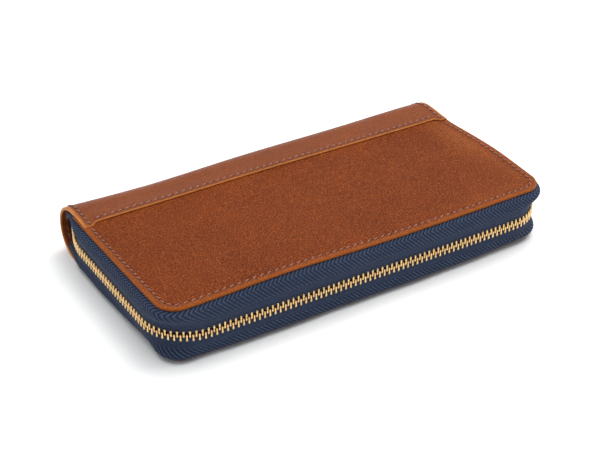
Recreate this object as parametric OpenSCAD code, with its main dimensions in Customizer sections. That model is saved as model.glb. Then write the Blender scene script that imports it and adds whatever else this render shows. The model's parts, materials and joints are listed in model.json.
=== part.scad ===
// Zip around wallet: two leather covers joined by a soft spine, closed on three
// sides by a brass zip, with card pockets on each cover and a zipped coin pocket
// between them.  Millimetres.  +X runs along the spine, +Y points to the spine,
// +Z is up.  The origin lies on the face that the wallet rests on.

/* [Covers] */
// Length of the covers along the spine
cover_l = 198; // [180:1:215]
// Distance from the origin to the covers' front edge
front_y = 54; // [50:1:58]
// Thickness of the closed wallet
closed_h = 28; // [27.5:0.5:30]
// Height of the line where the zip's two rows of teeth meet
mid = 13; // [12.5:0.5:13.5]
// Radius of the two front corners of each cover
corner_r = 10; // [9:1:12]
// Thickness of the cover leather
leather_t = 1.3; // [1:0.1:1.5]

/* [Spine] */
// Where the flat covers end and the round spine begins
spine_y = 39.5; // [38:0.5:41]
// How far the round spine stands out behind the covers
spine_depth = 15.5; // [15:0.5:17]
// Front edge of the spine strip where it lies on the covers
strip_y = 26; // [22:1:31]
// How far the strip stands proud of the upper cover
strip_raise = 0.6; // [0.4:0.1:0.6]

/* [Zip] */
// Pitch of the teeth on one tape
pitch = 2.5; // [2.4:0.1:2.8]
// How far the line of teeth stands outside the covers' edge
chain_out = 0.8; // [0.5:0.1:1.2]
// Radius of the line of teeth at the two front corners
zip_corner_r = 20; // [16:1:24]
// How far each tape bulges beyond the line of teeth
tape_bulge = 1.9; // [1:0.1:2.2]
// Place of the slider's middle on the right-hand side, when closed
slider_y = 34; // [32:0.5:35]
// Length of the leather pull tab
tab_l = 25; // [18:1:28]

/* [Inside] */
// Number of card pockets on each cover, one behind the other
card_rows = 4; // [4:1:4]
// Step between the mouths of the card pockets
card_step = 9; // [7:0.5:10]
// Overall thickness of the coin pocket
coin_t = 5.5; // [5.3:0.1:5.6]
// Length of the coin pocket along the spine
coin_l = 180; // [160:1:182]
// Front end of the coin pocket, at its mouth
coin_mouth_y = -32.5; // [-34:0.5:-30]

/* [Hidden] */

$fn = 48;
eps = 0.01;

tan_leather = [0.60, 0.29, 0.14];
dark_leather = [0.52, 0.25, 0.13];
navy_cloth = [0.15, 0.18, 0.26];
navy_leather = [0.17, 0.20, 0.29];
brass = [0.83, 0.65, 0.36];
board_grey = [0.62, 0.58, 0.52];

// Levels, measured inwards from the outer plane of each half
half_l = cover_l / 2;
function reach(upper) = upper ? closed_h - mid : mid;
strip_flap_t = 0.7;
strip_back_t = 1.2;
board_t = 0.6;
lining_t = 0.4;
slip_t = 0.8;
card_t = 0.6;
sheet_gap = 0.1;
function sink(upper) = upper ? strip_raise : 0;
function board_z(upper) = sink(upper) + leather_t;
function lining_z(upper) = board_z(upper) + board_t;
function slip_z(upper) = lining_z(upper) + lining_t + sheet_gap;
function card_z(upper, row) = slip_z(upper) + slip_t + card_t * (row - 1);
function stack_top(upper) = card_z(upper, card_rows + 1);

// Zip tape and chain
tape_t = 0.55;
tape_margin = 4.5;
board_inset = 5;
edge_r = zip_corner_r - chain_out;
edge_gap = 1.25;
slider_half_w = 4.6;
tape_end_y = spine_y + 11;
hinge_gap = 0.15;

// Teeth: half sizes across the tape, and heights from the line where the rows meet
tooth_w = 1.05;
tooth_half_t = 1.25;
tooth_head_half_t = 1;
tooth_leg = 2.9;
tooth_head = 0.75;
first_tooth_y = spine_y + 3.5;

// Coin zip, which is a smaller size
coin_pitch = 2;
coin_chain_y = coin_mouth_y - 2.1;
coin_tape_t = 0.4;
coin_tooth_w = 0.85;
coin_edge_gap = 0.9;
coin_chain_half_l = coin_l / 2 - 6;
coin_slider_x = coin_chain_half_l - 5;
coin_wall_t = 0.5;
coin_back_y = spine_y + 5.5;

// Gusset leaves fold inwards to a crease that slants from the spine to the mouth
gusset_x = 91;
gusset_depth = 29;
gusset_back_y = spine_y + 4;
gusset_t = 0.4;

// ---------------------------------------------------------------- helpers

// A box given by its lowest and highest corners
module block(low, high) {
  translate(low) cube(high - low);
}

// Turns a half that is drawn from z = 0 up into the upper half
module place_half(upper) {
  if (upper) translate([0, 0, closed_h]) mirror([0, 0, 1]) children();
  else children();
}

// Extrudes a (y, z) outline along X, centred
module along_x(length) {
  translate([-length / 2, 0, 0]) rotate([90, 0, 90]) linear_extrude(length) children();
}

// Plan of a cover, grown outwards by e and cut off at back_y.  The sheets that meet
// the tape at the corners take edge_r, so that they turn with it.
module plan(e, back_y, edge_corner_r = corner_r) {
  r = edge_corner_r + e;
  x = half_l + e;
  y = front_y + e;
  translate([-x, -y + r]) square([2 * x, back_y + y - r]);
  translate([-x + r, -y]) square([2 * (x - r), 2 * r]);
  for (s = [-1, 1]) translate([s * (x - r), -y + r]) circle(r);
}

// Points of a quarter ellipse about the spine's middle, from the flat to the back.
// The last point stops short of the middle plane, so that the halves stay clear.
function spine_arc(h, a, b, n = 20) = [
  for (i = [0:n])
    let (t = i / n * acos(0) * (1 - hinge_gap / b * 0.64))
    [spine_y + a * sin(t), h - b * cos(t)]
];
function reversed(list) = [for (i = [len(list) - 1:-1:0]) list[i]];

// Outline of a sheet that lies flat from y0 and then follows the round spine
module spine_sheet(y0, h, outer, inner) {
  polygon(concat(
    [[y0, h - outer[1]]], spine_arc(h, outer[0], outer[1]),
    reversed(spine_arc(h, inner[0], inner[1])), [[y0, h - inner[1]]]
  ));
}

// A band of the given thickness about a line of (e, z) points
function unit(v) = v / norm(v);
function band(line, t) =
  let (
    last = len(line) - 1,
    normals = [
      for (i = [0:last])
        let (d = unit(line[min(i + 1, last)] - line[max(i - 1, 0)]))
        [-d[1], d[0]]
    ]
  )
  concat(
    [for (i = [0:last]) line[i] + normals[i] * t / 2],
    [for (i = [last:-1:0]) line[i] - normals[i] * t / 2]
  );

// ---------------------------------------------------------------- covers

module cover_panel(upper) {
  color(tan_leather) place_half(upper) {
    translate([0, 0, sink(upper)]) linear_extrude(leather_t) plan(0, strip_y);
    block([-half_l + 1, strip_y - eps, strip_flap_t], [half_l - 1, spine_y - 0.5, board_z(upper)]);
  }
}

module spine_strip(upper) {
  h = reach(upper);
  color(dark_leather) place_half(upper) along_x(cover_l - 1)
    spine_sheet(
      strip_y, h, [spine_depth, h],
      [spine_depth - strip_back_t, h - strip_flap_t]
    );
}

module board(upper) {
  color(board_grey) place_half(upper)
    translate([0, 0, board_z(upper)]) linear_extrude(board_t)
      plan(-board_inset, spine_y - 1, edge_r);
}

module lining(upper) {
  h = reach(upper);
  a = spine_depth - strip_back_t - sheet_gap;
  b = h - lining_z(upper);
  color(navy_cloth) place_half(upper) {
    translate([0, 0, lining_z(upper)]) linear_extrude(lining_t) plan(-1, strip_y, edge_r);
    along_x(cover_l - 2 * tape_margin)
      spine_sheet(strip_y - eps, h, [a, b], [a - lining_t, b - lining_t]);
  }
}

module slip_panel(upper) {
  color(tan_leather) place_half(upper)
    translate([0, 0, slip_z(upper)]) linear_extrude(slip_t) plan(-6, spine_y - 3);
}

// Row 1 lies deepest and its mouth is nearest the front
module card_pocket(upper, row) {
  mouth_y = -front_y + 9 + card_step * (row - 1);
  color(row % 2 == 0 ? dark_leather : tan_leather) place_half(upper)
    block(
      [-half_l + 8, mouth_y, card_z(upper, row)],
      [half_l - 8, spine_y - 3.5, card_z(upper, row) + card_t]
    );
}

// ---------------------------------------------------------------- main zip

// The tape's middle line: sewn in flat, then bulging, then straight to its edge
function tape_shape(u) = pow(u, 0.8) * pow(1 - u, 1.4) / 0.236;
function tape_line(upper) =
  let (
    z0 = board_z(upper) + board_t / 2,
    straight_z = reach(upper) - slider_half_w - 0.3
  )
  concat(
    [[-tape_margin, z0], [-0.6, z0]],
    [for (i = [1:18]) let (u = i / 18)
      [chain_out * u + tape_bulge * tape_shape(u), z0 + (straight_z - z0) * u]],
    [[chain_out, reach(upper) - edge_gap]]
  );

// A profile of (e, z) points taken round the three zipped sides
module round_the_edge(profile, end_y) {
  side_l = end_y + front_y - edge_r;
  front_half = half_l - edge_r;
  along_x(2 * front_half) polygon([for (p = profile) [-front_y - p[0], p[1]]]);
  for (s = [0, 1]) mirror([s, 0, 0]) {
    translate([0, end_y, 0]) rotate([90, 0, 0]) linear_extrude(side_l)
      polygon([for (p = profile) [half_l + p[0], p[1]]]);
    translate([front_half, -front_y + edge_r, 0]) rotate([0, 0, -90])
      rotate_extrude(angle = 90) polygon([for (p = profile) [edge_r + p[0], p[1]]]);
  }
}

// Keeps what lies in front of the round spine, or inside its lining
module inside_spine(upper) {
  a = spine_depth - strip_back_t - sheet_gap - lining_t - 0.2;
  h = reach(upper);
  b = h - lining_z(upper) - lining_t - 0.2;
  intersection() {
    children();
    along_x(cover_l + 20) union() {
      translate([-front_y - 20, 0]) square([front_y + 20 + spine_y, h]);
      polygon(concat([[spine_y - eps, h], [spine_y - eps, h - b]], spine_arc(h, a, b)));
    }
  }
}

module zip_tape(upper) {
  color(navy_cloth) place_half(upper) inside_spine(upper)
    round_the_edge(band(tape_line(upper), tape_t), tape_end_y);
}

// A tooth stands across the tape in x, along the chain in y, and its head points up
module tooth(half_t, head_half_t, leg, head, slot_half, slot_top, w) {
  rotate([90, 0, 0]) linear_extrude(w, center = true) polygon([
    [-half_t, -leg], [-slot_half, -leg], [-slot_half, slot_top], [slot_half, slot_top],
    [slot_half, -leg], [half_t, -leg], [half_t, -head * 0.6],
    [head_half_t, head], [-head_half_t, head], [-half_t, -head * 0.6]
  ]);
}

module main_tooth() {
  tooth(
    tooth_half_t, tooth_head_half_t, tooth_leg, tooth_head,
    tape_t / 2 + 0.03, -edge_gap + 0.05, tooth_w
  );
}

// Lengths of the chain's stretches, from the left end round to the slider
side_run = first_tooth_y + front_y - edge_r;
arc_run = zip_corner_r * PI / 2;
front_run = 2 * (half_l - edge_r);
right_start = side_run + arc_run + front_run + arc_run;
chain_end = right_start + slider_y + front_y - edge_r;
tooth_count = floor((chain_end - right_start) / pitch) + floor(right_start / pitch);

// A point of the left-hand (side -1) or right-hand (side 1) corner arc, and its angle
function corner_at(side, t) = [
  side * (half_l - edge_r) + zip_corner_r * cos(t), -front_y + edge_r + zip_corner_r * sin(t), t
];

// [x, y, turn] at a distance s along the chain; turn is the way it faces outwards
function chain_at(s) =
  s < side_run ? [-half_l - chain_out, first_tooth_y - s, 180]
  : s < side_run + arc_run ? corner_at(-1, 180 + (s - side_run) / arc_run * 90)
  : s < side_run + arc_run + front_run ?
    [-half_l + edge_r + s - side_run - arc_run, -front_y - chain_out, 270]
  : s < right_start ? corner_at(1, 270 + (s - right_start + arc_run) / arc_run * 90)
  : [half_l + chain_out, -front_y + edge_r + s - right_start, 0];

// The teeth of one row, either those of the right-hand side or all the others
module teeth(upper, right) {
  offset_s = upper ? 0.5 * pitch : 0;
  color(brass) place_half(upper)
    for (i = [0:tooth_count]) {
      s = i * pitch + offset_s;
      at = chain_at(s);
      if ((s > right_start) == right && s < chain_end)
        translate([at[0], at[1], reach(upper)]) rotate([0, 0, at[2]]) main_tooth();
    }
}

// A crimped stop on the edge of one tape, from y0; the rows meet at height h
module tape_stop(x, y0, length, h, top) {
  color(brass) translate([x, y0 + length, 0]) rotate([90, 0, 0]) linear_extrude(length)
    difference() {
      translate([-tooth_half_t, h - 3]) square([2 * tooth_half_t, 3 - top]);
      translate([-tape_t / 2 - 0.03, h - 4])
        square([tape_t + 0.06, 4 - edge_gap + 0.03]);
    }
}

module top_stop(upper) {
  place_half(upper) tape_stop(half_l + chain_out, slider_y + 6.6, 2.6, reach(upper), 1);
}

module bottom_stop() {
  tape_stop(-half_l - chain_out, first_tooth_y + 1.6, 3, mid, 0.1);
}

// ---------------------------------------------------------------- main slider

// Plan of the slider's plates, as (t, z) points: narrow at the rear, wide at the mouth
slider_side = [
  [-6, 2.4], [-5.5, 3.4], [-4.4, 4.1], [0.5, 4.1], [2.4, slider_half_w],
  [5, slider_half_w], [6, 3.6]
];
slider_plan = concat(slider_side, [for (p = reversed(slider_side)) [p[0], -p[1]]]);
plate_in = 1.6;
plate_out = 2.6;
bail_e = 3.65;
bail_r = 0.6;
bail_l = 9;
bail_z = 2.9;

// Extrudes a (t, z) outline across the chain, from e0 to e1
module across(e0, e1) {
  translate([e0, 0, 0]) rotate([90, 0, 90]) linear_extrude(e1 - e0) children();
}

module at_slider() {
  translate([half_l + chain_out, slider_y, mid]) children();
}

module slider_arch(t, w, foot, top, bar) {
  for (s = [-1, 1]) block([foot, s * t - bar / 2, -w], [top, s * t + bar / 2, w]);
  block([top - bar, -t - bar / 2, -w], [top, t + bar / 2, w]);
}

module zip_slider() {
  color(brass) at_slider() {
    difference() {
      across(-plate_out, plate_out) polygon(slider_plan);
      block([-plate_in, -10, -3.2], [plate_in, 10, 3.2]);
      block([-0.6, -10, -10], [0.6, 10, 10]);
    }
    across(-plate_in - 0.1, plate_in + 0.1)
      polygon([[1.8, 0], [3, 0.9], [5.2, 0.9], [5.2, -0.9], [3, -0.9]]);
    slider_arch(3.7, 1.1, plate_out - 0.1, 5.3, 0.8);
  }
}

// A round bar between two points
module rod(from, to, r) {
  d = to - from;
  translate(from)
    rotate([0, acos(d[2] / norm(d)), atan2(d[1], d[0])]) cylinder(h = norm(d), r = r);
}

module slider_bail() {
  color(brass) at_slider() {
    for (s = [-1, 1]) {
      rod([bail_e, 0, s * bail_z], [bail_e, -bail_l, s * bail_z], bail_r);
      for (t = [0, -bail_l]) translate([bail_e, t, s * bail_z]) sphere(bail_r);
    }
    for (t = [0, -bail_l]) rod([bail_e, t, -bail_z], [bail_e, t, bail_z], bail_r);
  }
}

tab_t = 2.2;
tab_half_w = 4.2;
rivet_t = -bail_l - 6.5;

module pull_tab() {
  color(tan_leather) at_slider() difference() {
    union() {
      translate([bail_e, -bail_l, -2.1]) cylinder(h = 4.2, r = 1.35);
      block([bail_e - tab_t / 2, -bail_l - 4.5, -2.1], [bail_e + tab_t / 2, -bail_l, 2.1]);
      across(bail_e - tab_t / 2, bail_e + tab_t / 2) {
        translate([-bail_l - tab_l + tab_half_w, -tab_half_w])
          square([tab_l - tab_half_w - 4, 2 * tab_half_w]);
        translate([-bail_l - tab_l + tab_half_w, 0]) circle(tab_half_w);
      }
    }
    translate([bail_e, -bail_l, -5]) cylinder(h = 10, r = bail_r + 0.08);
    rod([0, rivet_t, 0], [2 * bail_e, rivet_t, 0], 0.8);
  }
}

module tab_rivet() {
  color(brass) at_slider() {
    rod([bail_e - 1.6, rivet_t, 0], [bail_e + 1.6, rivet_t, 0], 0.75);
    for (s = [-1, 1]) {
      rod([bail_e + s * 1.1, rivet_t, 0], [bail_e + s * 1.6, rivet_t, 0], 1.5);
    }
  }
}

// ---------------------------------------------------------------- coin pocket

// Levels of the outer face of each wall and of its lining
function coin_z(upper) = reach(upper) - coin_t / 2;
function coin_lining_z(upper) = coin_z(upper) + coin_wall_t + coin_tape_t;

module coin_wall(upper) {
  color(tan_leather) place_half(upper)
    block(
      [-coin_l / 2, coin_mouth_y, coin_z(upper)],
      [coin_l / 2, coin_back_y, coin_z(upper) + coin_wall_t]
    );
}

module coin_lining(upper) {
  color(navy_cloth) place_half(upper)
    block(
      [-coin_l / 2 + 0.5, coin_mouth_y + 0.5, coin_lining_z(upper)],
      [coin_l / 2 - 0.5, coin_back_y - 0.5, coin_lining_z(upper) + lining_t]
    );
}

// Strips that join the two linings along one end or along the bottom
coin_inside = [coin_lining_z(false) + lining_t, closed_h - coin_lining_z(true) - lining_t];
module coin_side(s) {
  x = s * (coin_l / 2 - 1.1);
  color(navy_leather)
    block(
      [x - 0.4, coin_mouth_y + 1.5, coin_inside[0]],
      [x + 0.4, coin_back_y - 1, coin_inside[1]]
    );
}

module coin_bottom() {
  color(navy_leather)
    block(
      [-coin_l / 2 + 1.6, coin_back_y - 1.8, coin_inside[0]],
      [coin_l / 2 - 1.6, coin_back_y - 1, coin_inside[1]]
    );
}

module coin_hinge_strip() {
  end_y = spine_y + spine_depth - 2.5;
  color(navy_leather)
    block([-coin_l / 2 + 2, coin_back_y - 0.4, mid - 0.4], [coin_l / 2 - 2, end_y, mid + 0.4]);
}

// Each tape lies between a wall and its lining, and turns up at the mouth
module coin_tape(upper) {
  z0 = coin_z(upper) + coin_wall_t + coin_tape_t / 2;
  bend = 0.45;
  line = concat(
    [[coin_mouth_y + 6, z0]],
    [for (i = [0:4]) let (a = -90 - i * 22.5)
      [coin_chain_y + bend + bend * cos(a), z0 + bend + bend * sin(a)]],
    [[coin_chain_y, reach(upper) - coin_edge_gap]]
  );
  color(navy_cloth) place_half(upper) along_x(coin_l - 4)
    polygon(band(line, coin_tape_t));
}

module coin_tooth() {
  tooth(0.8, 0.65, 1.65, 0.5, coin_tape_t / 2 + 0.03, -coin_edge_gap + 0.05, coin_tooth_w);
}

module coin_teeth(upper) {
  first = -coin_chain_half_l + (upper ? coin_pitch / 2 : 0);
  color(brass) place_half(upper)
    for (x = [first:coin_pitch:coin_slider_x])
      translate([x, coin_chain_y, reach(upper)]) rotate([0, 0, -90]) coin_tooth();
}

// Small crimped stops: one block at the open end, and one on each tape at the other
module coin_end_stops() {
  color(brass) {
    translate([-coin_chain_half_l - 3, coin_chain_y - 0.8, mid - 0.8]) cube([1.6, 1.6, 1.6]);
    for (s = [-1, 1])
      translate([coin_slider_x + 4.8, coin_chain_y - 0.7, mid + s * 0.9 - 0.35])
        cube([1.2, 0.48, 0.7]);
  }
}

module at_coin_slider() {
  translate([coin_slider_x, coin_chain_y, mid]) rotate([0, 0, -90]) children();
}

coin_pin_e = 2.5;

module coin_slider() {
  color(brass) at_coin_slider() {
    block([1.05, -4, -2.5], [1.8, 4, 2.5]);
    for (s = [-1, 1]) translate([0, 0, s * 2.2]) block([0.45, -4, -0.3], [1.1, 4, 0.3]);
    block([-1.75, -4, -1.5], [-1.05, 4, 1.5]);
    across(-1.1, 1.1) polygon([[0.8, 0], [1.6, 0.55], [3.6, 0.55], [3.6, -0.55], [1.6, -0.55]]);
    slider_arch(2.7, 0.7, 1.7, 3.8, 0.6);
  }
}

module coin_puller() {
  color(brass) at_coin_slider() {
    rod([coin_pin_e, 0, -1.7], [coin_pin_e, 0, 1.7], 0.42);
    for (s = [-1, 1]) translate([0, 0, s * 1.5])
      block([coin_pin_e - 0.4, -4.6, -0.4], [coin_pin_e + 0.4, 0.4, 0.4]);
    across(coin_pin_e - 0.4, coin_pin_e + 0.4) {
      translate([-12, -1.9]) square([8, 3.8]);
      translate([-12, 0]) circle(1.9);
    }
  }
}

// ---------------------------------------------------------------- gussets

// Two leaves and the crease between them, folded into the gap beside the coin pocket
module gusset(upper, s) {
  z0 = stack_top(upper) + sheet_gap;
  z1 = coin_z(upper) - sheet_gap;
  back = [gusset_x, gusset_back_y];
  front = [gusset_x, coin_mouth_y];
  crease = [gusset_x - gusset_depth, coin_mouth_y];
  crease_in = [gusset_x - gusset_depth + 0.6, coin_mouth_y];
  color(navy_leather) place_half(upper) mirror([s < 0 ? 1 : 0, 0, 0]) {
    for (z = [z0, z1 - gusset_t])
      translate([0, 0, z]) linear_extrude(gusset_t) polygon([back, front, crease]);
    translate([0, 0, z0]) linear_extrude(z1 - z0) polygon([back, crease_in, crease]);
  }
}

// ---------------------------------------------------------------- parts

cover_panel(false);  // lower_cover_panel
spine_strip(false);  // lower_spine_strip
board(false);  // lower_board
lining(false);  // lower_lining
slip_panel(false);  // lower_slip_panel
card_pocket(false, 1);  // lower_card_pocket_1
card_pocket(false, 2);  // lower_card_pocket_2
card_pocket(false, 3);  // lower_card_pocket_3
card_pocket(false, 4);  // lower_card_pocket_4
zip_tape(false);  // lower_zip_tape
teeth(false, false);  // lower_teeth
teeth(false, true);  // lower_teeth_right
top_stop(false);  // lower_top_stop
bottom_stop();  // zip_bottom_stop
gusset(false, -1);  // lower_gusset_left
gusset(false, 1);  // lower_gusset_right
cover_panel(true);  // upper_cover_panel
spine_strip(true);  // upper_spine_strip
board(true);  // upper_board
lining(true);  // upper_lining
slip_panel(true);  // upper_slip_panel
card_pocket(true, 1);  // upper_card_pocket_1
card_pocket(true, 2);  // upper_card_pocket_2
card_pocket(true, 3);  // upper_card_pocket_3
card_pocket(true, 4);  // upper_card_pocket_4
zip_tape(true);  // upper_zip_tape
teeth(true, false);  // upper_teeth
teeth(true, true);  // upper_teeth_right
top_stop(true);  // upper_top_stop
gusset(true, -1);  // upper_gusset_left
gusset(true, 1);  // upper_gusset_right
coin_wall(false);  // coin_pocket_lower_wall
coin_wall(true);  // coin_pocket_upper_wall
coin_lining(false);  // coin_pocket_lower_lining
coin_lining(true);  // coin_pocket_upper_lining
coin_side(-1);  // coin_pocket_left_side
coin_side(1);  // coin_pocket_right_side
coin_bottom();  // coin_pocket_bottom
coin_hinge_strip();  // coin_pocket_hinge_strip
coin_tape(false);  // coin_lower_tape
coin_tape(true);  // coin_upper_tape
coin_teeth(false);  // coin_lower_teeth
coin_teeth(true);  // coin_upper_teeth
coin_end_stops();
zip_slider();
slider_bail();
pull_tab();
tab_rivet();
coin_slider();
coin_puller();
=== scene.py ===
"""Looks of the zip around wallet: leather, stitching, woven zip tape and brass teeth.

Lengths inside this file are millimetres and become metres when a mesh is made.
"""
import json
import math

import bmesh
import bpy
import numpy as np
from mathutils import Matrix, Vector


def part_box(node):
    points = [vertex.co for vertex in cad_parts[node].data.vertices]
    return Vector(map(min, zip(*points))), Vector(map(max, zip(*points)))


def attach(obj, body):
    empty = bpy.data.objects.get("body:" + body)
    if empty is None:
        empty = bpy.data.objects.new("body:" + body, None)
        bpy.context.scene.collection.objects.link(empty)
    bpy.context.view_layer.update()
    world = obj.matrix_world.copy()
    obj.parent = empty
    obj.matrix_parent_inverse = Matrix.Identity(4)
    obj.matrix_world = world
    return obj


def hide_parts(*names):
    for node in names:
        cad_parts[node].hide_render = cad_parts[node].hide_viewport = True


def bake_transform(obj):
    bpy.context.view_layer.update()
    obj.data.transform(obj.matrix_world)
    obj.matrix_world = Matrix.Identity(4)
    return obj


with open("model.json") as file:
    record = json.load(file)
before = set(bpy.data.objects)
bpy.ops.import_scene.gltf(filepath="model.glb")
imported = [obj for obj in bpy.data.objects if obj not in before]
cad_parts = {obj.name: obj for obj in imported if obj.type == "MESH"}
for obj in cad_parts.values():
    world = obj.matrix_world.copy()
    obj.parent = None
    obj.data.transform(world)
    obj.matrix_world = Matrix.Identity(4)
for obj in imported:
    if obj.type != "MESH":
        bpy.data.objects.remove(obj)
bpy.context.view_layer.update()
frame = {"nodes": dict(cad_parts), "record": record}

MM = 0.001


def box_mm(node):
    """Lowest and highest corner of a CAD node, in millimetres."""
    low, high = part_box(node)
    return np.array(low) / MM, np.array(high) / MM


# --- sizes from the frame

UPPER_LOW, UPPER_HIGH = box_mm("upper_cover_panel")
STRIP_LOW, STRIP_HIGH = box_mm("upper_spine_strip")
HINGE = next(j for j in frame["record"]["behaviour"]["joints"] if j["name"] == "cover_open")
HINGE_Y, MID = HINGE["pos_m"][1] / MM, HINGE["pos_m"][2] / MM

HALF_L = UPPER_HIGH[0]
FRONT = -UPPER_LOW[1]
CLOSED_H = STRIP_HIGH[2]
STRIP_Y = STRIP_LOW[1]
STRIP_END_X = STRIP_HIGH[0]
LEATHER_T = 1.3
STRIP_T = 1.5
SKIVED_T = 0.75
LINING_T = 0.4
GUSSET_HALF_T = 0.17
GUSSET_GAP = 0.2
COVER_TOP = CLOSED_H - 0.6
UNDERSIDE = COVER_TOP - LEATHER_T
SPINE_Y = 39.5
SPINE_A = HINGE_Y - SPINE_Y
CORNER_R = 10.0
CHAIN_OUT = 0.8
BASE_R = 20.0 - CHAIN_OUT
PITCH = 2.5
TAPE_T = 0.55
FIRST_TOOTH_Y = 45.0
TAPE_END_Y = 47.0
SLIDER_Y = 34.0
STITCH_INSET = 3.0
STITCH_PITCH = 3.5
STITCH_SLANT = 20.0
STRIP_STITCH_INSET = 2.6
SLIP_STITCH_INSET = 2.0
CARD_STITCH_INSET = 2.4
COIN_STITCH_INSET = 2.2
INNER_STITCH_PITCH = 3.0
INNER_STITCH_SHARE = 0.7
SLIP_CORNER_R = 6.0
CARD_ROWS = 4


# --- small maths

def smooth(t):
    t = np.clip(t, 0.0, 1.0)
    return t * t * (3.0 - 2.0 * t)


def bell(t, centre, width):
    return np.exp(-(((t - centre) / width) ** 2))


def bow(x, y):
    """How far the soft upper cover lies above its nominal height."""
    front = 0.35 + 1.25 * bell(x, -42, 32) + 0.35 * bell(x, 75, 25)
    at_strip = 0.1 - 0.75 * (x / 99.0) ** 2 - 0.5 * bell(x, -62, 30)
    ends = -0.35 * smooth((np.abs(x) - 70) / 29) * smooth((y + 45) / 20)
    ends = ends - 0.7 * bell(np.hypot(x - HALF_L, y + FRONT), 0, 22)
    ends = ends + 1.1 * bell(y, -6, 30) * smooth((x - 74) / 18)
    toward_back = smooth((y + FRONT) / 80)
    return front * (1 - toward_back) + at_strip * toward_back + ends


CHAIN_PULL = 1.2
UPPER_PULL = 2.1
LOWER_PULL = 3.5


def settle(x, y, pull=UPPER_PULL):
    """Plan position after the front corners have sunk inwards with wear."""
    w = bell(np.hypot(x - HALF_L, y + FRONT), 0, 26)
    x, y = x - pull * w, y + 0.6 * pull * w
    if pull == LOWER_PULL:
        beside = bell(np.hypot(x + HALF_L, y + 32), 0, 24)
        y = y + 1.2 * bell(np.hypot(x + HALF_L, y + FRONT), 0, 32)
        x = x + 2.2 * beside
    return x, y


def inset(x, y, half_x, front_y, radius):
    """Distance inwards from a cover's outline: two sides, the front and its two round corners."""
    dx = half_x - np.abs(x)
    dy = y + front_y
    in_corner = (dx < radius) & (dy < radius)
    round_d = radius - np.hypot(radius - dx, radius - dy)
    return np.where(in_corner, round_d, np.minimum(dx, dy))


def edge_round(d, radius):
    """Drop of a surface near its rounded edge."""
    t = np.clip(1 - d / radius, 0, 1)
    return radius * (1 - np.sqrt(1 - t * t))


def axis_steps(length, fine, coarse):
    """Positions from 0 to length, close together at both ends."""
    near = [f for f in fine if f < length / 2]
    count = max(2, round((length - 2 * near[-1]) / coarse))
    middle = np.linspace(near[-1], length - near[-1], count + 1)[1:-1]
    return np.array(near + list(middle) + [length - f for f in reversed(near)])


# --- meshes

def make_object(name, verts, faces, attributes):
    """A smooth-shaded mesh from points in millimetres, with one float attribute per key."""
    mesh = bpy.data.meshes.new(name)
    mesh.from_pydata((np.asarray(verts, float) * MM).tolist(), [], faces)
    for key, values in attributes.items():
        layer = mesh.attributes.new(key, "FLOAT", "POINT")
        layer.data.foreach_set("value", np.asarray(values, np.float32))
    work = bmesh.new()
    work.from_mesh(mesh)
    bmesh.ops.recalc_face_normals(work, faces=work.faces)
    work.to_mesh(mesh)
    work.free()
    mesh.shade_smooth()
    obj = bpy.data.objects.new(name, mesh)
    bpy.context.scene.collection.objects.link(obj)
    return obj


def grid_faces(rows, cols, offset=0):
    return [
        (offset + i * cols + j, offset + i * cols + j + 1,
         offset + (i + 1) * cols + j + 1, offset + (i + 1) * cols + j)
        for i in range(rows - 1)
        for j in range(cols - 1)
    ]


def rim_loop(rows, cols):
    """The boundary of a grid, in order."""
    loop = [(0, j) for j in range(cols)]
    loop += [(i, cols - 1) for i in range(1, rows)]
    loop += [(rows - 1, j) for j in range(cols - 2, -1, -1)]
    loop += [(i, 0) for i in range(rows - 2, 0, -1)]
    return [i * cols + j for i, j in loop]


def closed_sheet(name, top, bottom, attributes):
    """A closed solid from two (rows, cols, 3) grids that share their boundary order."""
    rows, cols, _ = top.shape
    count = rows * cols
    faces = grid_faces(rows, cols) + grid_faces(rows, cols, count)
    loop = rim_loop(rows, cols)
    for a, b in zip(loop, loop[1:] + loop[:1]):
        faces.append((a, b, count + b, count + a))
    verts = np.concatenate([top.reshape(-1, 3), bottom.reshape(-1, 3)])
    doubled = {k: np.concatenate([np.ravel(v[0]), np.ravel(v[1])]) for k, v in attributes.items()}
    return make_object(name, verts, faces, doubled)


def ring_faces(rings, sides):
    """Faces of a closed stack of rings that all have the same number of sides."""
    faces = []
    for i in range(rings - 1):
        for k in range(sides):
            n = (k + 1) % sides
            faces.append((i * sides + k, i * sides + n, (i + 1) * sides + n, (i + 1) * sides + k))
    last = (rings - 1) * sides
    return faces + [tuple(range(sides)), tuple(range(last, last + sides))]


def soft_ring(half_x, half_y, z, sides, corner):
    """Points round a rectangle with softened corners; a smaller corner value is squarer."""
    ring = []
    for k in range(sides):
        a = 2 * math.pi * (k + 0.5) / sides
        c, s = math.cos(a), math.sin(a)
        x = half_x * math.copysign(abs(c) ** corner, c)
        y = half_y * math.copysign(abs(s) ** corner, s)
        ring.append((x, y, z))
    return ring


def grid_normals(grid, sign=1.0):
    """Unit normals of a (rows, cols, 3) grid."""
    normal = np.cross(np.gradient(grid, axis=0), np.gradient(grid, axis=1)) * sign
    return normal / np.linalg.norm(normal, axis=2)[:, :, None]


def tube(points, radii, sides):
    """Verts and faces of a tube along a line, closed at its ends."""
    points = np.asarray(points, float)
    tangents = np.gradient(points, axis=0)
    verts = []
    up = np.array([0.0, 0.0, 1.0])
    for p, t, r in zip(points, tangents, radii):
        t = t / np.linalg.norm(t)
        side = np.cross(t, up)
        side /= np.linalg.norm(side)
        over = np.cross(side, t)
        for k in range(sides):
            a = 2 * math.pi * k / sides
            verts.append(p + r * (math.cos(a) * side + math.sin(a) * over))
    return np.array(verts), ring_faces(len(points), sides)


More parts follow.
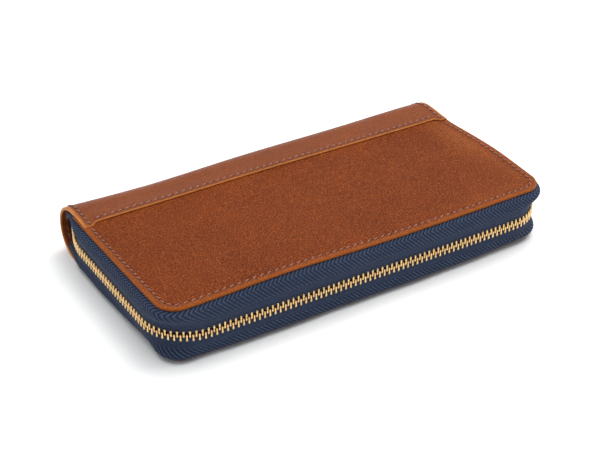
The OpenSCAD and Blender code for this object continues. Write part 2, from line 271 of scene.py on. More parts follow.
def many(name, shape, frames, attributes=None):
    """One mesh of copies of a (verts, faces) shape, each placed by (origin, x, y, z axes)."""
    verts, faces = shape
    all_verts, all_faces = [], []
    for n, (origin, ax, ay, az) in enumerate(frames):
        all_verts.append(origin + verts @ np.array([ax, ay, az]))
        all_faces += [tuple(n * len(verts) + i for i in f) for f in faces]
    values = {k: np.tile(v, len(frames)) for k, v in (attributes or {}).items()}
    return make_object(name, np.concatenate(all_verts), all_faces, values)


# --- materials

def feed(tree, socket, value):
    """Links a socket to another, or sets its value."""
    if isinstance(value, bpy.types.NodeSocket):
        tree.links.new(value, socket)
    else:
        socket.default_value = value


def add(tree, kind, inputs=None, **props):
    node = tree.nodes.new("ShaderNode" + kind)
    for key, value in props.items():
        setattr(node, key, value)
    for key, value in (inputs or {}).items():
        feed(tree, node.inputs[key], value)
    return node


def new_material(name, constants):
    mat = bpy.data.materials.new(name)
    mat.use_nodes = True
    tree = mat.node_tree
    tree.nodes.clear()
    shader = add(tree, "BsdfPrincipled")
    out = add(tree, "OutputMaterial")
    tree.links.new(shader.outputs["BSDF"], out.inputs["Surface"])
    for key, value in constants.items():
        shader.inputs[key].default_value = value
    return mat, tree, shader


def place(tree):
    return add(tree, "TexCoord").outputs["Object"]


def noise(tree, where, size, detail=4.0, rough=0.55, warp=0.0):
    """Noise whose blobs are about size millimetres across."""
    node = add(tree, "TexNoise", {
        "Vector": where, "Scale": 1 / (size * MM), "Detail": detail, "Roughness": rough,
        "Distortion": warp})
    return node.outputs["Fac"]


def pebbles(tree, where, size):
    """Distance from the creases between pebbles of about size millimetres."""
    node = add(tree, "TexVoronoi", {"Vector": where, "Scale": 1 / (size * MM)},
               feature="DISTANCE_TO_EDGE")
    return node.outputs["Distance"]


def attribute(tree, name):
    return add(tree, "Attribute", attribute_name=name).outputs["Fac"]


def remap(tree, value, low, high, to_low=0.0, to_high=1.0):
    node = add(tree, "MapRange", {
        "Value": value, "From Min": low, "From Max": high, "To Min": to_low, "To Max": to_high})
    return node.outputs["Result"]


def math_node(tree, operation, a, b=0.0):
    node = add(tree, "Math", operation=operation)
    for socket, value in zip(node.inputs, (a, b)):
        feed(tree, socket, value)
    return node.outputs[0]


def mix(tree, factor, a, b):
    node = add(tree, "Mix", data_type="RGBA")
    for index, value in ((0, factor), (6, a), (7, b)):
        if isinstance(value, tuple):
            value = (*value, 1.0)
        feed(tree, node.inputs[index], value)
    return node.outputs[2]


def bump(tree, height, depth, normal=None):
    """A bump whose full height is depth millimetres."""
    inputs = {"Height": height, "Strength": 1.0, "Distance": depth * MM}
    if normal is not None:
        inputs["Normal"] = normal
    return add(tree, "Bump", inputs).outputs["Normal"]


def wire(tree, shader, colour, roughness, normal):
    """Links a material's colour, roughness and bump to its shader."""
    for key, socket in (("Base Color", colour), ("Roughness", roughness), ("Normal", normal)):
        tree.links.new(socket, shader.inputs[key])


def leather(name, body, dark, light, raw, grain, depth, rough, shine=0.1):
    """Pebbled leather: dark creases, mottled colour, and a pale raw edge where rim is 1."""
    mat, tree, shader = new_material(name, {
        "Specular IOR Level": shine, "Specular Tint": (1.0, 0.74, 0.54, 1.0)})
    where = place(tree)
    wander = add(tree, "TexNoise", {"Vector": where, "Scale": 1 / (4 * MM), "Detail": 2.0})
    shifted = add(tree, "VectorMath", operation="MULTIPLY_ADD")
    tree.links.new(wander.outputs["Color"], shifted.inputs[0])
    shifted.inputs[1].default_value = (0.9 * MM, 0.9 * MM, 0.9 * MM)
    tree.links.new(where, shifted.inputs[2])
    bent = shifted.outputs[0]
    creases = remap(tree, pebbles(tree, bent, grain), 0.0, 0.2)
    pores = noise(tree, bent, grain * 0.8, 3.0, 0.6)
    patches = noise(tree, where, 34.0, 4.0, 0.6, 0.6)
    clouds = noise(tree, where, 5.0, 5.0, 0.65)
    colour = mix(tree, remap(tree, patches, 0.36, 0.66, 0.0, 0.3), body, dark)
    colour = mix(tree, remap(tree, clouds, 0.46, 0.72, 0.0, 0.25), colour, light)
    # paler where the worn attribute is high: edge wear outside the stitches and painted sheen where the
    # cover swells
    colour = mix(tree, math_node(tree, "MULTIPLY", attribute(tree, "worn"), 0.45), colour, light)
    colour = mix(tree, remap(tree, pores, 0.5, 0.34, 0.0, 0.55), colour, dark)
    # pale specks on the pebbles: grain tone, with painted glints
    colour = mix(tree, remap(tree, pores, 0.52, 0.66, 0.0, 0.5), colour, light)
    shade = math_node(tree, "MULTIPLY", remap(tree, creases, 0.0, 1.0, 0.55, 0.0),
                      remap(tree, clouds, 0.35, 0.6, 0.55, 1.0))
    colour = mix(tree, shade, colour, tuple(0.4 * c for c in dark))
    rim = attribute(tree, "rim")
    worn = math_node(tree, "MULTIPLY", rim, remap(tree, clouds, 0.3, 0.6, 0.6, 1.0))
    colour = mix(tree, worn, colour, raw)
    gloss = math_node(tree, "ADD", remap(tree, clouds, 0.3, 0.7, rough - 0.06, rough + 0.07),
                      remap(tree, creases, 0.0, 1.0, 0.14, 0.0))
    relief = math_node(tree, "ADD", creases, math_node(tree, "MULTIPLY", pores, 0.7))
    broad = bump(tree, clouds, depth * 2.0)
    wire(tree, shader, colour, gloss, bump(tree, relief, depth, broad))
    return mat


def thread_material(name, pale, dark):
    """Waxed thread with a twist; its needle-mark attribute is 1 on the needle marks, which are painted
    dark as the shade in their holes.
    """
    mat, tree, shader = new_material(name, {"Specular IOR Level": 0.15})
    where = place(tree)
    fuzz = noise(tree, where, 0.5, 3.0)
    along = add(tree, "TexWave", {"Vector": where, "Scale": 1 / (1.6 * MM), "Distortion": 1.5},
                wave_type="BANDS", bands_direction="DIAGONAL")
    colour = mix(tree, remap(tree, fuzz, 0.35, 0.65), pale, tuple(0.6 * c for c in pale))
    # painted shade in the needle holes
    colour = mix(tree, attribute(tree, "hole_shade"), colour, dark)
    wire(tree, shader, colour, remap(tree, fuzz, 0.3, 0.7, 0.45, 0.65),
         bump(tree, along.outputs["Fac"], 0.06))
    return mat


def woven(name, body, pale, stripes):
    """Woven cloth; stripes is the share of the herringbone, read from the ridge attribute. Its relief
    is also painted: painted shade in the grooves, painted highlights on the crests and on the lit yarn
    tops.
    """
    mat, tree, shader = new_material(name, {
        "Specular IOR Level": 0.12, "Sheen Weight": 0.03, "Sheen Roughness": 0.4})
    where = place(tree)
    fine = add(tree, "TexVoronoi", {"Vector": where, "Scale": 1 / (0.42 * MM), "Randomness": 0.55})
    yarn = remap(tree, fine.outputs["Distance"], 0.0, 0.6, 1.0, 0.0)
    fuzz = noise(tree, where, 0.9, 5.0, 0.7)
    ridge = attribute(tree, "ridge")
    lit = math_node(tree, "MULTIPLY", yarn, remap(tree, fuzz, 0.42, 0.6, 0.0, 0.72))
    colour = mix(tree, lit, body, pale)
    # painted shade in the herringbone's grooves
    groove = math_node(tree, "MULTIPLY", remap(tree, ridge, -1.0, 0.25, stripes, 0.0),
                       remap(tree, fuzz, 0.3, 0.6, 0.7, 1.0))
    colour = mix(tree, groove, colour, tuple(0.18 * c for c in body))
    # painted highlight on the herringbone's crests
    crest_highlight = math_node(tree, "MULTIPLY", remap(tree, ridge, 0.1, 0.9, 0.0, stripes), yarn)
    colour = mix(tree, crest_highlight, colour, pale)
    relief = math_node(tree, "ADD", yarn, math_node(tree, "MULTIPLY", ridge, 0.9))
    wire(tree, shader, colour, remap(tree, fuzz, 0.3, 0.7, 0.6, 0.85), bump(tree, relief, 0.07))
    return mat


def metal(name, body, worn, rough):
    """Cast and tumbled brass, darker where it has dulled."""
    mat, tree, shader = new_material(name, {"Metallic": 1.0})
    where = place(tree)
    spots = noise(tree, where, 2.2, 5.0, 0.65)
    fine = noise(tree, where, 0.25, 3.0, 0.6)
    colour = mix(tree, remap(tree, spots, 0.42, 0.7), body, worn)
    gloss = math_node(tree, "ADD", remap(tree, spots, 0.3, 0.7, rough - 0.05, rough + 0.1),
                      remap(tree, fine, 0.3, 0.7, 0.0, 0.05))
    wire(tree, shader, colour, gloss, bump(tree, fine, 0.012))
    return mat


def board_material(name, body, pale):
    """Pressed fibre board."""
    mat, tree, shader = new_material(name, {"Specular IOR Level": 0.25})
    where = place(tree)
    stretched = add(tree, "Mapping", {"Vector": where, "Scale": (0.3, 1.0, 1.0)}).outputs[0]
    fibres = noise(tree, stretched, 0.8, 6.0, 0.75)
    colour = mix(tree, remap(tree, fibres, 0.35, 0.65), body, pale)
    wire(tree, shader, colour, remap(tree, fibres, 0.3, 0.7, 0.75, 0.92), bump(tree, fibres, 0.04))
    return mat


LEATHER = leather("grained_leather", (0.228, 0.0415, 0.0056), (0.080, 0.012, 0.003),
                  (0.38, 0.104, 0.023), (0.32, 0.080, 0.013), 1.15, 0.22, 0.42, 0.13)
STRIP_LEATHER = leather("smooth_leather", (0.228, 0.049, 0.0100), (0.120, 0.025, 0.009),
                        (0.36, 0.105, 0.028), (0.60, 0.215, 0.047), 0.85, 0.10, 0.38, 0.24)
INNER_LEATHER = leather("inner_leather", (0.23, 0.072, 0.030), (0.17, 0.048, 0.021),
                        (0.30, 0.10, 0.042), (0.40, 0.16, 0.06), 0.7, 0.04, 0.5)
GUSSET_LEATHER = leather("gusset_leather", (0.025, 0.031, 0.052), (0.016, 0.020, 0.034),
                         (0.040, 0.050, 0.080), (0.05, 0.06, 0.09), 0.8, 0.05, 0.5)
THREAD = thread_material("waxed_thread", (0.36, 0.188, 0.158), (0.022, 0.006, 0.004))
DARK_THREAD = thread_material("inner_thread", (0.42, 0.22, 0.13), (0.03, 0.012, 0.008))
TAPE = woven("navy_tape", (0.026, 0.038, 0.075), (0.095, 0.135, 0.235), 0.95)
LINING = woven("lining_twill", (0.022, 0.028, 0.048), (0.055, 0.070, 0.11), 0.4)
BRASS = metal("brass", (0.82, 0.57, 0.275), (0.62, 0.40, 0.17), 0.27)
BOARD = board_material("fibre_board", (0.30, 0.26, 0.20), (0.42, 0.37, 0.29))


def finish_piece(obj, material, body=None, replaced=()):
    """Gives a piece its look, the CAD nodes it stands for, and its body."""
    obj.data.materials.clear()
    obj.data.materials.append(material)
    if replaced:
        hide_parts(*replaced)
    if body:
        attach(obj, body)
    return obj


# --- flat sheets and covers

COVER_EDGE_R = 0.45
EDGE_STEPS = [0, 0.12, 0.3, 0.5, 0.8, 1.2, 1.7, 2.2, 2.6, 2.85, 3.0, 3.15, 3.4, 3.8, 4.4, 5.2, 6.4, 8]


def plate_grid(half_x, y0, y1, radius, coarse, fine):
    """(x, y, inset) arrays of a sheet from y0 at the front to y1, with two round front corners."""
    columns = axis_steps(2 * half_x, fine, coarse) / half_x - 1
    if radius > 0:
        turn = np.linspace(0, math.pi / 2, 19)
        rows = list(radius * (1 - np.cos(turn)))
        count = max(2, round((y1 - y0 - radius) / coarse))
        rows += list(np.linspace(radius, y1 - y0, count + 1)[1:])
        rows = np.array(rows)
        cut = np.clip(radius - rows, 0, None)
        reach = half_x - radius + np.sqrt(radius ** 2 - cut ** 2)
    else:
        rows = axis_steps(y1 - y0, fine, coarse)
        reach = np.full(len(rows), half_x)
    x = reach[:, None] * columns[None, :]
    y = np.repeat((y0 + rows)[:, None], len(columns), axis=1)
    d = inset(x, y, half_x, -y0, max(radius, 1e-6))
    return x, y, d


def cover_plate(name, half_x, y0, y1, z0, z1, radius, coarse, lift, warp, groove=0.0,
                rim_depth=0.7, ceiling=None):
    """A cover with rounded edges. lift moves both faces, groove presses the stitch line in."""
    x, y, d = plate_grid(half_x, y0, y1, radius, coarse, EDGE_STEPS)
    raised = lift(x, y)
    drop = edge_round(d, COVER_EDGE_R)
    top = z1 + raised - drop - groove * bell(d, STITCH_INSET, 0.55)
    bottom = z0 + raised + drop
    if ceiling:
        top = np.minimum(top, ceiling(x, y))
        bottom = np.minimum(bottom, top - 0.3)
    rim = np.exp(-(np.clip(d, 0, None) / rim_depth) ** 2)
    # painted sheen: paler on the swollen leather inside the right-hand stitches and along the border
    # towards the right, where the soft slopes face the light
    painted_sheen = bell(x, half_x - 11, 6.5) * bell(y, 2, 26)
    painted_sheen = painted_sheen + 0.6 * bell(d, 6.5, 3.5) * smooth(x / half_x)
    # paler band outside the stitches: edge wear where the leather is pressed, with a painted highlight
    # on the rounded edge
    edge_wear_and_highlight = 1.2 * smooth((2.9 - d) / 0.8)
    # so the worn attribute holds real edge wear and painted sheen
    worn = np.maximum(painted_sheen, edge_wear_and_highlight)
    x, y = warp(x, y)
    return closed_sheet(name, np.dstack([x, y, top]), np.dstack([x, y, bottom]),
                        {"rim": (rim, np.maximum(rim, 0.5)), "worn": (worn, 0 * x)})


def cover_lift(x, y):
    """Bow of the upper cover, with the leather swollen a little inside its stitches."""
    d = inset(x, y, HALF_L, FRONT, CORNER_R)
    return bow(x, y) + 0.22 * smooth((d - 3.2) / 8) - 0.12


def lower_lift(x, y):
    """The lower cover rests flat; its front edge lifts a little towards the right."""
    d = inset(x, y, HALF_L, FRONT, CORNER_R)
    return 0.05 + 0.9 * smooth((x - 20) / 80) * smooth(1 - d / 14)


def under_strip(x, y):
    """Height of the strip's hidden face, which the skived back edge of the cover stays below."""
    limit = np.full(x.shape, 99.0)
    for i, j in np.argwhere(y > STRIP_Y + 1.5):
        t = (y[i, j] - SPINE_Y) / (SPINE_Y - STRIP_Y)
        thick = 0.8 + 0.75 * float(smooth(1 + 2 * t))
        limit[i, j] = strip_surface(x[i, j], min(t, -1e-6), True, thick)[1]
    return limit


def upper_cover_lift(x, y):
    """The cover's lift, which follows the spine up where the strip is laid over it."""
    return cover_lift(x, y) + np.clip(spine_sag(x), 0, None) * smooth((y - 20) / 16)


def build_covers():
    upper = cover_plate("upper_cover_leather", HALF_L, -FRONT, 37.0, UNDERSIDE, COVER_TOP, CORNER_R,
                        2.0, upper_cover_lift, settle, groove=0.22, ceiling=under_strip)
    finish_piece(upper, LEATHER, "upper_half", ["upper_cover_panel"])
    lower = cover_plate("lower_cover_leather", HALF_L - 1.2, -FRONT + 1.4, 38.0, 0.0, LEATHER_T,
                        CORNER_R - 2, 2.5, lower_lift, lambda x, y: settle(x, y, LOWER_PULL),
                        rim_depth=1.3)
    finish_piece(lower, LEATHER, "lower_half", ["lower_cover_panel"])


# --- the spine strip

def strip_edge_y(x):
    """Front edge of the strip, with its short jog at each end."""
    return STRIP_Y - 1.4 * smooth((np.abs(x) - 92.5) / 2.5)


def spine_sag(x):
    return -1.3 * bell(x, -52, 38) + 0.4 * bell(x, -99, 14) + 1.5 * bell(x, 92, 36)


def spine_point(x, t, upper, depth):
    """(y, z) below the strip's outer face. t is 0 at the flat's end, 1 at the middle of the back."""
    tall = CLOSED_H - MID if upper else MID
    power = 2.04 if upper else 2.4
    across = SPINE_A + 0.55 - depth
    high = tall - depth
    a = t * math.pi / 2
    y = SPINE_Y + across * np.sin(a) ** (2 / power)
    rise = high * np.abs(np.cos(a)) ** (2 / power)
    if upper:
        level = rise + (bow(x, STRIP_Y) * 0.8 + spine_sag(x)) * smooth(rise / tall)
        return y, MID + level
    return y, MID - rise


def strip_rows():
    """Station values: -1 to 0 over the flat, 0 to 1 round the back."""
    flat = [-1, -0.985, -0.965, -0.93, -0.87, -0.8, -0.7, -0.5, -0.3, -0.15]
    return np.array(flat + list(np.linspace(0, 1, 40)))


def strip_surface(x, t, upper, depth):
    """Point on a face of the strip at a depth below its outer face."""
    flat_z = CLOSED_H - MID if upper else MID
    edge = strip_edge_y(x)
    y_round, z_round = spine_point(x, max(t, 0.0), upper, depth)
    if t >= 0:
        return y_round, z_round
    y = SPINE_Y + (SPINE_Y - edge) * t
    if not upper:
        return y, MID - flat_z + depth
    share = -t
    over_cover = COVER_TOP + upper_cover_lift(x, edge) + 0.1
    raised = 0.75 - 0.4 * smooth((np.abs(x) - 91) / 4) + 0.45 * bell(x, 98, 9)
    z_edge = over_cover + raised - depth
    z = z_round * (1 - smooth(share)) + z_edge * smooth(share)
    return y, z


def strip_grid(xs, ts, upper, depths):
    """Points of the strip at (rows, cols) depths below its outer face."""
    grid = np.zeros((len(ts), len(xs), 3))
    for i, t in enumerate(ts):
        for j, x in enumerate(xs):
            grid[i, j] = (x, *strip_surface(x, t, upper, depths[i, j]))
    return grid


STRIP_END_STEPS = [0, 0.08, 0.2, 0.4, 0.7, 1.2, 1.9, 2.5, 2.8, 3.1, 3.5, 4.2, 5.2, 6.5, 7.3, 8.0,
                   8.7, 9.6, 11]


def strip_half(name, upper):
    """Half of the strip, skived thin where it laps the cover, with its stitch grooves."""
    xs = axis_steps(2 * STRIP_END_X, STRIP_END_STEPS, 2.4) - STRIP_END_X
    ts = strip_rows()
    d_end = (STRIP_END_X - np.abs(xs))[None, :] + 0 * ts[:, None]
    d_front = np.where(ts < 0, (1 + ts) * (SPINE_Y - STRIP_Y), 99.0)[:, None] + 0 * d_end
    drop = edge_round(d_end, 0.5) + edge_round(d_front, 0.3) + 0.16 * bell(d_end, STITCH_INSET, 0.5)
    drop += 0.16 * bell(d_front, STRIP_STITCH_INSET, 0.5) * smooth((d_end - 3.5) / 2)
    thick = (STRIP_T + (SKIVED_T - STRIP_T) * smooth(-2 * ts))[:, None]
    outer = strip_grid(xs, ts, upper, drop)
    inner = strip_grid(xs, ts, upper, thick - 0.5 * edge_round(d_end, 0.5))
    rim_outer = np.maximum(np.exp(-(d_end / 1.1) ** 2), np.exp(-(d_front / 0.34) ** 2))
    rim_inner = 0.9 * np.exp(-(np.minimum(d_end, d_front) / 0.5) ** 2)
    return closed_sheet(name, outer, inner, {"rim": (rim_outer, rim_inner)})


def blend_spine(obj, upper):
    """Bakes a piece's placement into its mesh; both halves are treated alike."""
    if upper:
        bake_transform(obj)
    else:
        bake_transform(obj)
    return obj


def build_spine():
    for upper in (True, False):
        side = "upper" if upper else "lower"
        obj = strip_half(f"{side}_spine_leather", upper)
        finish_piece(obj, STRIP_LEATHER, None, [f"{side}_spine_strip"])
        blend_spine(obj, upper)


# --- stitches

def stitch_shape(length, radius):
    """A stitch along x whose ends dip into the leather, and a dark disc of painted shade for each
    needle hole.
    """
    sides = 8
    steps = np.linspace(-1, 1, 9)
    points = [(0.5 * length * t, 0, radius * (0.75 - 1.25 * t ** 4)) for t in steps]
    radii = radius * np.sqrt(np.clip(1.12 - steps ** 4, 0.1, 1))
    verts, faces = tube(points, radii, sides)
    hole_shade = [0.0] * len(verts)
    for sign in (-1, 1):
        centre_x = sign * (0.5 * length + radius * 0.6)
        disc = [(centre_x + radius * 1.15 * math.cos(a), radius * 1.05 * math.sin(a), z)
                for z in (-0.15, 0.10)
                for a in np.linspace(0, 2 * math.pi, sides + 1)[:-1]]
        faces += [tuple(len(verts) + i for i in f) for f in ring_faces(2, sides)]
        verts = np.concatenate([verts, disc])
        # mark the discs for the painted shade of the needle holes
        hole_shade += [1.0] * len(disc)
    return (verts, faces), np.array(hole_shade)


def stitch_row(name, points, normals, pitch=STITCH_PITCH, share=0.68, radius=0.31):
    """Stitches along a line of points, whose surface normals are given."""
    points = np.asarray(points, float)
    normals = np.asarray(normals, float)
    lengths = np.r_[0, np.cumsum(np.linalg.norm(np.diff(points, axis=0), axis=1))]
    count = max(1, int(lengths[-1] / pitch))
    at = (np.arange(count) + 0.5) * lengths[-1] / count
    frames = []
    turn = math.radians(STITCH_SLANT)
    for s in at:
        near = np.array([[np.interp(s + o, lengths, points[:, k]) for k in range(3)]
                         for o in (-0.4 * pitch, 0, 0.4 * pitch)])
        normal = np.array([np.interp(s, lengths, normals[:, k]) for k in range(3)])
        along = near[2] - near[0]
        normal -= along * (normal @ along) / (along @ along)
        normal /= np.linalg.norm(normal)
        along /= np.linalg.norm(along)
        ax = along * math.cos(turn) + np.cross(normal, along) * math.sin(turn)
        frames.append((near[1], ax, np.cross(normal, ax), normal))
    shape, hole_shade = stitch_shape(pitch * share, radius)
    return many(name, shape, frames, {"hole_shade": hole_shade})


def inner_stitches(name, line, normal, body, radius):
    """A row of the smaller, darker stitches used inside the wallet."""
    obj = stitch_row(name, line, [normal] * len(line), INNER_STITCH_PITCH, INNER_STITCH_SHARE, radius)
    finish_piece(obj, DARK_THREAD, body)


def cover_path(y_end, inset_d, half_x, front_y, radius):
    """Plan points of a line inside a cover's outline: left side, front, right side."""
    step = 1.0
    r = radius - inset_d
    x, y = half_x - inset_d, -front_y + inset_d
    turns = np.linspace(0, math.pi / 2, 12)
    points = [(-x, v) for v in np.arange(y_end, y + r, -step)]
    points += [(-x + r - r * math.cos(a), y + r - r * math.sin(a)) for a in turns]
    points += [(v, y) for v in np.arange(-x + r + step, x - r, step)]
    points += [(x - r + r * math.sin(a), y + r - r * math.cos(a)) for a in turns]
    points += [(x, v) for v in np.arange(y + r + step, y_end + 0.01, step)]
    return np.array(points)


def build_outer_stitches():
    path = cover_path(STRIP_Y - 2.5, STITCH_INSET, HALF_L, FRONT, CORNER_R)
    top = COVER_TOP + cover_lift(path[:, 0], path[:, 1]) - 0.2
    up = np.tile((0.0, 0.0, 1.0), (len(path), 1))
    settled = np.c_[settle(path[:, 0], path[:, 1])]
    obj = stitch_row("upper_cover_stitches", np.c_[settled, top], up)
    finish_piece(obj, THREAD, "upper_half")
    low = 0.28 + lower_lift(path[:, 0], path[:, 1])
    settled = np.c_[settle(path[:, 0], path[:, 1], LOWER_PULL)]
    obj = stitch_row("lower_cover_stitches", np.c_[settled, low], -up, radius=0.2)
    finish_piece(obj, THREAD, "lower_half")
    for upper in (True, False):
        side = "upper" if upper else "lower"
        sign = 1.0 if upper else -1.0
        sunk, radius = (0.14, 0.34) if upper else (0.30, 0.26)
        xs = np.arange(-STRIP_END_X + 6.5, STRIP_END_X - 6.4, 1.0)
        line = []
        for x in xs:
            t = -1 + STRIP_STITCH_INSET / (SPINE_Y - STRIP_Y)
            y, z = strip_surface(x, t, upper, sunk)
            line.append((x, y, z))
        obj = stitch_row(f"{side}_strip_stitches", line, [(0, 0, sign)] * len(line),
                         radius=radius)
        finish_piece(obj, THREAD, f"{side}_half")
        for end in (-1, 1):
            where = "left" if end < 0 else "right"
            x = end * (STRIP_END_X - STITCH_INSET)
            for face, depth in (("outer", sunk), ("inner", STRIP_T - 0.05)):
                line, normals = [], []
                first = -0.93 if face == "outer" else 0.05
                for t in np.linspace(first, 0.97, 60):
                    y, z = strip_surface(x, t, upper, depth)
                    y2, z2 = strip_surface(x, t, upper, depth - 0.5)
                    out = np.array((0, y2 - y, z2 - z))
                    line.append((x, y, z))
                    normals.append(out if face == "outer" else -out)
                obj = stitch_row(f"{side}_spine_{face}_stitches_{where}", line, normals,
                                 radius=radius)
                finish_piece(obj, THREAD)
                blend_spine(obj, upper)


# --- main zip

def pull_in(y):
    """How far the chain bends inwards on the left as it nears the spine."""
    return 4.6 * np.clip((y - 27.0) / 19.0, 0, None) ** 1.8


def left_chain(y):
    """Base point and facing of the chain on the left, where it bends inwards near the spine."""
    tilt = math.atan2(pull_in(y + 0.5) - pull_in(y - 0.5), 1.0)
    return np.array((-HALF_L + pull_in(y), y)), np.array((-math.cos(tilt), math.sin(tilt)))


def corner_pair(side, u):
    """Chain base line and leather edge in a front corner; u runs 0 to 1 from side to front."""
    turn = u * math.pi / 2
    face = np.array((side * math.cos(turn), -math.sin(turn)))
    base = np.array((side * (HALF_L - BASE_R), -FRONT + BASE_R)) + BASE_R * face
    straight = BASE_R - CORNER_R
    arc = CORNER_R * math.pi / 2
    run = u * (2 * straight + arc)
    a = min(max((run - straight) / CORNER_R, 0.0), math.pi / 2)
    out = np.array((side * math.cos(a), -math.sin(a)))
    edge = np.array((side * (HALF_L - CORNER_R), -FRONT + CORNER_R)) + CORNER_R * out
    if run < straight:
        edge[1] += straight - run
    elif run > straight + arc:
        edge[0] -= side * (run - straight - arc)
    return base, face, edge, out


def chain_stations(step, start_y, end_y):
    """(s, base, facing, leather edge, its facing) from the left end round to the right end."""
    low_y = -FRONT + BASE_R
    rows = []
    for y in np.arange(start_y, low_y, -step):
        rows.append((*left_chain(y), np.array((-HALF_L, y)), np.array((-1.0, 0.0))))
    turns = round(BASE_R * math.pi / 2 / step)
    for k in range(turns):
        rows.append(corner_pair(-1, k / turns))
    count = round(2 * (HALF_L - BASE_R) / step)
    for x in np.linspace(-HALF_L + BASE_R, HALF_L - BASE_R, count + 1)[:-1]:
        point = np.array((x, -FRONT))
        rows.append((point, np.array((0.0, -1.0)), point, np.array((0.0, -1.0))))
    for k in range(turns):
        rows.append(corner_pair(1, 1 - k / turns))
    count = round((end_y - low_y) / step)
    for y in np.linspace(low_y, end_y, count + 1):
        point = np.array((HALF_L, y))
        rows.append((point, np.array((1.0, 0.0)), point, np.array((1.0, 0.0))))
    line = np.array([base + CHAIN_OUT * face for base, face, _, _ in rows])
    run = np.r_[0, np.cumsum(np.linalg.norm(np.diff(line, axis=0), axis=1))]
    return run, rows


TAPE_H = [0.10, 0.22, 0.30, 0.38, 0.45, 0.53, 0.60, 0.68, 0.76, 0.83, 0.89, 0.94, 0.975, 0.985, 0.985]
TAPE_E = [0.80, 0.82, 0.92, 1.10, 1.32, 1.58, 1.78, 1.88, 1.84, 1.60, 1.12, 0.45, -0.4, -1.6, -3.6]
LOWER_E = [0.80, 0.82, 0.90, 1.0, 1.15, 1.35, 1.5, 1.6, 1.6, 1.4, 1.0, 0.4, -0.5, -1.6, -3.6]
CORNER_BULGE = 0.3
HERRING_PITCH = 2.0


def tape_profile(upper, count):
    """(h, e, v): height share, bulge and distance along the tape from the chain's edge."""
    tall = (UNDERSIDE - MID) if upper else (MID - LEATHER_T)
    h_knots = np.array(TAPE_H)
    e_knots = np.array(TAPE_E if upper else LOWER_E)
    run = np.r_[0, np.cumsum(np.hypot(np.diff(h_knots) * tall, np.diff(e_knots)))]
    v = np.linspace(0, run[-1], count)
    h = np.interp(v, run, h_knots)
    e = np.interp(v, run, e_knots)
    kernel = np.array([1, 2, 3, 2, 1]) / 9
    padded_h = np.pad(h, 2, mode="edge")
    padded_e = np.pad(e, 2, mode="edge")
    return np.convolve(padded_h, kernel, "valid"), np.convolve(padded_e, kernel, "valid"), v


def inner_height(y, upper):
    """Room above (or below) the chain under the covers and inside the round spine."""
    tall = (UNDERSIDE - MID) if upper else (MID - LEATHER_T)
    past = max(0.0, y - SPINE_Y) / (SPINE_A - 1.6)
    return tall * math.sqrt(max(0.0, 1 - past ** 2)) - 0.6 * min(1.0, past * 3)


def tape(name, upper):
    run, rows = chain_stations(0.4, TAPE_END_Y, 50.0)
    h, e, v = tape_profile(upper, 54)
    near_leather = smooth((h - 0.35) / 0.5)
    sign = 1.0 if upper else -1.0
    grid = np.zeros((len(rows), len(h), 3))
    for i, (base, face, edge, out) in enumerate(rows):
        fade = smooth((base[1] - 29) / 17)
        wave = 0.18 * math.sin(run[i] * 0.085 + (0 if upper else 2)) + 0.1 * math.sin(run[i] * 0.21)
        at_corner = CORNER_BULGE * abs(math.sin(2 * math.atan2(abs(face[0]), abs(face[1]))))
        fuller = e + at_corner * smooth((h - 0.35) / 0.3) * smooth((0.99 - h) / 0.2)
        bulge = fuller * (1 - fade) + np.minimum(e, -1.1) * fade
        bulge = bulge + wave * smooth((h - 0.4) / 0.2) * smooth((0.97 - h) / 0.1)
        chain = np.array(settle(base[0], base[1], CHAIN_PULL))
        at_chain = chain[None, :] + bulge[:, None] * face[None, :]
        sunk = np.array(settle(edge[0], edge[1], UPPER_PULL if upper else LOWER_PULL))
        at_edge = sunk[None, :] + bulge[:, None] * out[None, :]
        w = near_leather[:, None]
        xy = at_chain * (1 - w) + at_edge * w
        tall = inner_height(base[1], upper)
        grid[i, :, :2] = xy
        if upper:
            lifted = cover_lift(edge[0], edge[1]) * h ** 2
        else:
            lifted = lower_lift(edge[0], edge[1]) * h ** 3
        slider_side = smooth((base[1] + 34) / 6) if face[0] > 0.9 else 0.0
        closing = 0.03 * (1 - slider_side) * np.clip(1 - h / 0.3, 0, 1)
        grid[i, :, 2] = MID + sign * tall * (h - closing) + lifted
    normal = grid_normals(grid, sign)
    tip = 10.6 if upper else 9.4
    woven_from = 5.2 if upper else 4.4
    lean = -1.15 if upper else 1.15
    s = run[:, None]
    phase = (s + lean * np.abs(v[None, :] - tip)) / HERRING_PITCH
    ridge = np.tanh(1.8 * np.sin(2 * math.pi * phase)) * smooth((v[None, :] - woven_from) / 0.8)
    plain = 1 - smooth((v[None, :] - woven_from) / 0.8)
    selvedge = 0.5 * np.sin(2 * math.pi * v[None, :] / 0.9) * plain
    outer = grid + normal * (TAPE_T / 2 + 0.075 * ridge[:, :, None])
    inner = grid - normal * (TAPE_T / 2)
    side = "upper" if upper else "lower"
    obj = closed_sheet(name, outer, inner, {"ridge": (ridge + 0.5 * selvedge, ridge * 0)})
    return finish_piece(obj, TAPE, f"{side}_half", [f"{side}_zip_tape"])


def tooth_shape(scale):
    """A cast tooth: x across the tape, y along the chain, z towards the other row."""
    rings = [(-2.6, 0.26, 0.38), (-2.5, 0.40, 0.56), (-2.3, 0.48, 0.70), (-1.95, 0.52, 0.76),
             (-1.5, 0.48, 0.76), (-1.1, 0.39, 0.72), (-0.7, 0.35, 0.66), (-0.3, 0.42, 0.66),
             (0.1, 0.48, 0.66), (0.42, 0.46, 0.62), (0.66, 0.35, 0.50), (0.78, 0.21, 0.34)]
    sides = 12
    verts = []
    for z, half_y, half_x in rings:
        verts += soft_ring(half_x, half_y, z, sides, 0.55)
    return np.array(verts) * scale, ring_faces(len(rings), sides)


